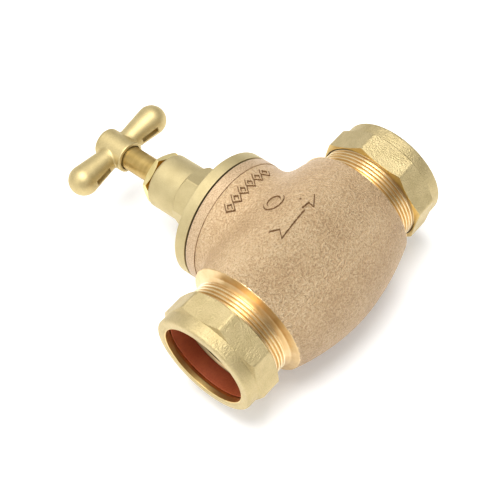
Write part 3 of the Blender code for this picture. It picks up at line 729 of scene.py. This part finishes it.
def make_nut(side, place):
    sides = 8
    turn = NUT_TURNS[side]
    angles = corner_angles(turn, sides, 28)
    flats = prism_radius(angles, turn, sides, NUT_APOTHEM)
    rear_edge = 32.9
    bore = THREAD_CREST + 0.3
    thread_high = 71.0
    matte, bright, shaded = 0, 1, 2
    outside = [
        (bore, NUT_REAR + 0.6, 0.05, shaded),
        (bore + 0.5, NUT_REAR, 0.1, bright),
        (rear_edge, NUT_REAR, 0.15, bright),
        (flats, NUT_REAR + 0.5 * (flats - rear_edge), 0.25, matte),
        (flats, NUT_FLATS_END + 0.9 - 0.5 * (flats - NUT_APOTHEM), 0.35, matte),
        (33.5, NUT_FLATS_END + 1.1, 0.6, matte),
        (33.5, NUT_FACE, 3.6, matte),
        (29.0, NUT_FACE, 0.15, matte),
        (28.8, NUT_FACE - 0.2, 0.1, matte),
        (PIPE_RADIUS, NUT_FACE - 0.25, 0.35, bright),
        (PIPE_RADIUS, NUT_FACE - 3.2, 0.3, bright),
        (PIPE_RADIUS + 3.6, NUT_FACE - 9.6, 0.2, bright),
        (bore, NUT_FACE - 10.6, 0.1, bright),
        (bore, thread_high, 0.1, bright),
    ]
    thread = {
        "low": NUT_REAR + 0.6,
        "high": thread_high,
        "root": bore,
        "crest": THREAD_ROOT + 0.3,
        "phase": THREAD_PHASE + THREAD_PITCH / 2,
        "look": bright,
    }
    looks = [LOOKS["nut_brass"], LOOKS["nut_turned"], LOOKS["waterway"]]
    made = turned(f"{side}_nut_fine", [outside, thread], place, looks, angles)
    return finished(made, f"{side}_nut", "nut_brass", f"{side}_nut")


def make_olive(side, place):
    angles = np.linspace(0, math.tau, 160, endpoint=False)
    low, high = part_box(f"{side}_olive")
    middle_x = abs((low.x + high.x) / 2 - AXES_MEET.x) / MM
    half = (high.x - low.x) / 2 / MM
    inner, outer = middle_x - half, middle_x + half
    corners = [
        (PIPE_RADIUS + 0.1, inner, 0.1),
        (28.1, inner, 0.25),
        (30.4, inner + 4, 1.0),
        (30.4, outer - 4, 1.0),
        (28.1, outer, 0.25),
        (PIPE_RADIUS + 0.1, outer, 0.2),
    ]
    made = turned(f"{side}_olive_fine", [corners], place, [LOOKS["copper"]], angles)
    return finished(made, f"{side}_olive", "copper", f"{side}_olive")


def make_bonnet():
    sides = 6
    angles = corner_angles(WRENCH_TURN, sides, 36)
    flats = prism_radius(angles, WRENCH_TURN, sides, BARREL_RADIUS)
    spigot_low = (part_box("bonnet")[0].y - AXES_MEET.y) / MM
    root = 31.8
    lower = [
        (24.0, 50.0, 0.5),
        (27.0, 47.0, 0.5),
        (27.0, spigot_low, 0.2),
        (root - 0.6, spigot_low, 0.2),
        (root, spigot_low + 0.8, 0.1),
    ]
    thread = {"low": spigot_low + 0.8, "high": 52.6, "root": root, "crest": 33.0, "phase": 39.8}
    upper = [
        (root, 52.6, 0.05),
        (root, FLANGE_BOTTOM, 0.2),
        (RIM_RADIUS, FLANGE_BOTTOM, 0.45),
        (RIM_RADIUS, FLANGE_TOP, 0.7),
        (flats, FLANGE_TOP, 0.5),
        (flats, WRENCH_TOP - 0.9 * (flats - BARREL_RADIUS) - 0.1, 0.35),
        (BARREL_RADIUS - 0.1, WRENCH_TOP + 0.1, 0.5),
        (BARREL_RADIUS - 0.1, BARREL_TOP, 2.4),
        (12.9, BARREL_TOP, 0.25),
        (12.6, BARREL_TOP - 8, 0.2),
        (11.6, BARREL_TOP - 8, 0.1),
        (11.6, 84.0, 0.2),
        (STEM_RADIUS + 0.3, 84.0, 0.1),
        (STEM_RADIUS + 0.3, 80.0, 0.1),
        (10.7, 79.6, 0.1),
        (10.7, 56.0, 0.1),
        (15.7, 54.0, 0.3),
        (24.0, 50.0, 0.5),
    ]
    made = turned("bonnet_fine", [lower, thread, upper], STEM_SIDE, [LOOKS["bonnet_brass"]], angles)
    return finished(made, "body", "bonnet_brass", "bonnet")


def make_gland_nut():
    sides = 6
    angles = corner_angles(GLAND_TURN, sides, 30)
    flats = prism_radius(angles, GLAND_TURN, sides, GLAND_APOTHEM)
    low = (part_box("gland_nut")[0].y - AXES_MEET.y) / MM
    inner = STEM_RADIUS + 0.3
    corners = [
        (inner, low, 0.1),
        (11.8, low, 0.3, 1),
        (11.8, GLAND_BASE, 0.1, 1),
        (13.6, GLAND_BASE, 0.2, 1),
        (flats, GLAND_BASE + 0.5 * (flats - GLAND_APOTHEM), 0.2),
        (flats, GLAND_TOP - 0.25 - 0.4 * (flats - GLAND_APOTHEM), 0.25),
        (GLAND_APOTHEM - 0.3, GLAND_TOP, 0.3),
        (inner + 0.7, GLAND_TOP, 0.2),
        (inner, GLAND_TOP - 0.7, 0.2),
    ]
    looks = [LOOKS["gland_brass"], LOOKS["gland_gold"]]
    made = turned("gland_nut_fine", [corners], STEM_SIDE, looks, angles)
    return finished(made, "gland_nut", "gland_brass", "gland_nut")


def make_handle():
    angles = np.linspace(0, math.tau, 96, endpoint=False)
    hub_corners = [
        (0.0, HANDLE_BASE, 0),
        (HUB_RADIUS, HANDLE_BASE, 0.8),
        (HUB_RADIUS, HANDLE_TOP, 2.2),
        (0.0, HANDLE_TOP, 0),
    ]
    hub = turned("crutch_handle_fine", [hub_corners], STEM_SIDE, [LOOKS["handle_brass"]], angles, cap=True)
    arm_height = STEM_SIDE @ Matrix.Translation(Vector((0, 0, ARM_HEIGHT)) * MM)
    arms, pockets = [], []
    for facing in (0.0, math.pi):
        along = arm_height @ Matrix.Rotation(ARM_TURN + facing, 4, "Z") @ Matrix.Rotation(math.pi / 2, 4, "Y")
        arms.append(turned("arm", [arm_profile()], along, [], angles, cap=True))
        pockets.append(pocket(along))
    for piece in (hub, *arms):
        piece.modifiers.clear()
    joined(hub, *arms)
    remesh = hub.modifiers.new("one_skin", "REMESH")
    remesh.mode = "VOXEL"
    remesh.voxel_size = 0.36 * MM
    smooth = hub.modifiers.new("fillets", "SMOOTH")
    smooth.factor = 0.5
    smooth.iterations = 8
    baked(hub)
    bore_low, bore_top = HANDLE_BASE - 1, HANDLE_BASE + 3
    bore = [(0.0, bore_low, 0), (8.2, bore_low, 0), (8.2, bore_top, 0.3), (0.0, bore_top, 0)]
    screw_hole = [(0.0, 5.0, 0), (2.3, 5.0, 0), (2.3, 12.0, 0), (0.0, 12.0, 0)]
    screw_height = STEM_SIDE @ Matrix.Translation(Vector((0, 0, 150.5)) * MM)
    screw_side = screw_height @ Matrix.Rotation(-math.pi / 2, 4, "X")
    cutters = [*pockets, turned("bore", [bore], STEM_SIDE, [], angles, cap=True)]
    cutters.append(turned("screw_hole", [screw_hole], screw_side, [], angles, cap=True))
    for cutter in cutters:
        cutter.modifiers.clear()
        cut = hub.modifiers.new("cut", "BOOLEAN")
        cut.operation = "DIFFERENCE"
        cut.object = cutter
        cut.solver = "EXACT"
    baked(hub)
    for cutter in cutters:
        bpy.data.objects.remove(cutter)
    hub.data.materials.clear()
    hub.data.materials.append(LOOKS["handle_brass"])
    hub.data.shade_smooth()
    hub.data.set_sharp_from_angle(angle=math.radians(35))
    return finished(hub, "stem_group", "handle_brass", "crutch_handle")


def arm_profile():
    """A club: slim at the hub, growing to a ball at its end."""
    start_radius = 7.2
    slope = math.asin((ARM_BALL_RADIUS - start_radius) / (ARM_BALL_OFFSET - HUB_RADIUS))
    corners = [(0.0, 2.0, 0), (start_radius, 2.0, 0.1), (start_radius, HUB_RADIUS, 3.0)]
    steps = 24
    for step in range(steps + 1):
        angle = (math.pi / 2 + slope) * (1 - step / steps)
        radius = ARM_BALL_RADIUS * math.sin(angle) if step < steps else 0.0
        corners.append((radius, ARM_BALL_OFFSET + ARM_BALL_RADIUS * math.cos(angle), 0.0))
    return corners


def pocket(along):
    """A slot with rounded ends on its floor, for the side of an arm that faces the body."""
    bm = bmesh.new()
    bmesh.ops.create_cube(bm, size=1)
    bmesh.ops.scale(bm, vec=Vector((8.4, 4.2, 12.5)) * MM, verts=bm.verts)
    bmesh.ops.translate(bm, vec=Vector((9.7, 0, 20.75)) * MM, verts=bm.verts)
    bmesh.ops.bevel(bm, geom=bm.edges[:], offset=0.5 * MM, segments=4, profile=0.5, affect="EDGES")
    bmesh.ops.transform(bm, matrix=along, verts=bm.verts)
    mesh = bpy.data.meshes.new("pocket")
    bm.to_mesh(mesh)
    bm.free()
    made = bpy.data.objects.new("pocket", mesh)
    bpy.context.scene.collection.objects.link(made)
    return made


def make_stem():
    angles = np.linspace(0, math.tau, 128, endpoint=False)
    turned_end = HANDLE_BASE + 2.4
    corners = [
        (0.0, 46.0, 0),
        (5.3, 46.0, 0.2),
        (5.3, 31.0, 0.5),
        (9.8, 31.0, 0.8),
        (9.8, 51.6, 1.0),
        (8.4, 52.0, 0.2),
    ]
    thread = {"low": 52.0, "high": 79.0, "root": 8.4, "crest": 10.4, "phase": 53.5, "pitch": 4.0}
    shaft = [
        (8.4, 79.0, 0.1),
        (STEM_RADIUS, 79.6, 0.3),
        (STEM_RADIUS, turned_end, 0.3),
        (5.0, turned_end + 0.3, 0.2),
        (5.0, HANDLE_TOP - 4.6, 0.3),
        (0.0, HANDLE_TOP - 4.6, 0),
    ]
    made = turned("stem_fine", [corners, thread, shaft], STEM_SIDE, [LOOKS["stem_brass"]], angles)
    return finished(made, "stem_group", "stem_brass", "stem")


# ---------------------------------------------------------------- studio


def make_floor():
    half = 3.0
    points = np.array([(-half, -half, 0), (half, -half, 0), (half, half, 0), (-half, half, 0)])
    nodes = Nodes("studio_floor", 0.0, 0.9)
    paper = nodes.noise(40, 2)
    nodes.set("Base Color", nodes.ramp(paper, [(0.3, (0.88, 0.88, 0.88, 1)), (0.7, (0.9, 0.9, 0.9, 1))]))
    nodes.shader.inputs["Emission Color"].default_value = (1, 1, 1, 1)
    nodes.shader.inputs["Emission Strength"].default_value = 0.24
    floor = new_object("studio_floor", points, [(0, 1, 2, 3)], [nodes.made])


def add_light(name, direction, distance, size, power):
    data = bpy.data.lights.new(name, "AREA")
    data.shape = "DISK"
    data.size = size
    data.energy = power
    light = bpy.data.objects.new(name, data)
    target = Vector((0, 0, 0.04))
    light.location = target + Vector(direction).normalized() * distance
    light.rotation_euler = (target - light.location).to_track_quat("-Z", "Y").to_euler()
    bpy.context.scene.collection.objects.link(light)


def make_studio():
    make_floor()
    add_light("key", (-0.05, -0.08, 1.0), 1.3, 0.9, 19)
    add_light("fill", (-1.0, 0.2, 0.5), 1.8, 1.0, 5)
    world = bpy.data.worlds.new("studio")
    world.use_nodes = True
    tree = world.node_tree
    direction = tree.nodes.new("ShaderNodeTexCoord")
    facing = tree.nodes.new("ShaderNodeVectorMath")
    facing.operation = "DOT_PRODUCT"
    facing.inputs[1].default_value = (-0.1, 0.5, 0.86)
    tree.links.new(direction.outputs["Generated"], facing.inputs[0])
    brightness = tree.nodes.new("ShaderNodeMapRange")
    for socket, value in (("From Min", -0.2), ("From Max", 0.8), ("To Min", 0.2), ("To Max", 0.8)):
        brightness.inputs[socket].default_value = value
    tree.links.new(facing.outputs["Value"], brightness.inputs["Value"])
    tree.links.new(brightness.outputs["Result"], tree.nodes["Background"].inputs["Strength"])
    tree.nodes["Background"].inputs["Color"].default_value = (1, 1, 1, 1)
    bpy.context.scene.world = world
    bpy.context.scene.view_settings.view_transform = "Standard"


def make_camera():
    right = Vector((0.64772, -0.75091, -0.12880))
    up = Vector((0.65926, 0.46767, 0.58878))
    back = Vector((-0.38189, -0.46628, 0.79797))
    place = Matrix((right, up, back)).transposed().to_4x4()
    place.translation = Vector((-0.3253, -0.4101, 0.7067))
    data = bpy.data.cameras.new("camera")
    data.lens = 103.5
    data.sensor_width = 36
    data.clip_start = 0.01
    camera = bpy.data.objects.new("camera", data)
    camera.matrix_world = place
    bpy.context.scene.collection.objects.link(camera)
    bpy.context.scene.camera = camera


def dress_cad_nodes():
    """Gives each CAD node that stays in view the material of its slot."""
    for name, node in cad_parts.items():
        for slot in node.material_slots:
            slot.material = LOOKS[slot.material.name.split(".")[0]]


dress_cad_nodes()
make_casting_inside()
make_casting()
make_rim()
for side, place in (("inlet", INLET_SIDE), ("outlet", OUTLET_SIDE)):
    make_body_end(f"{side}_end", place)
    make_nut(side, place)
    make_olive(side, place)
make_bonnet()
make_gland_nut()
make_stem()
make_handle()
make_studio()
make_camera()
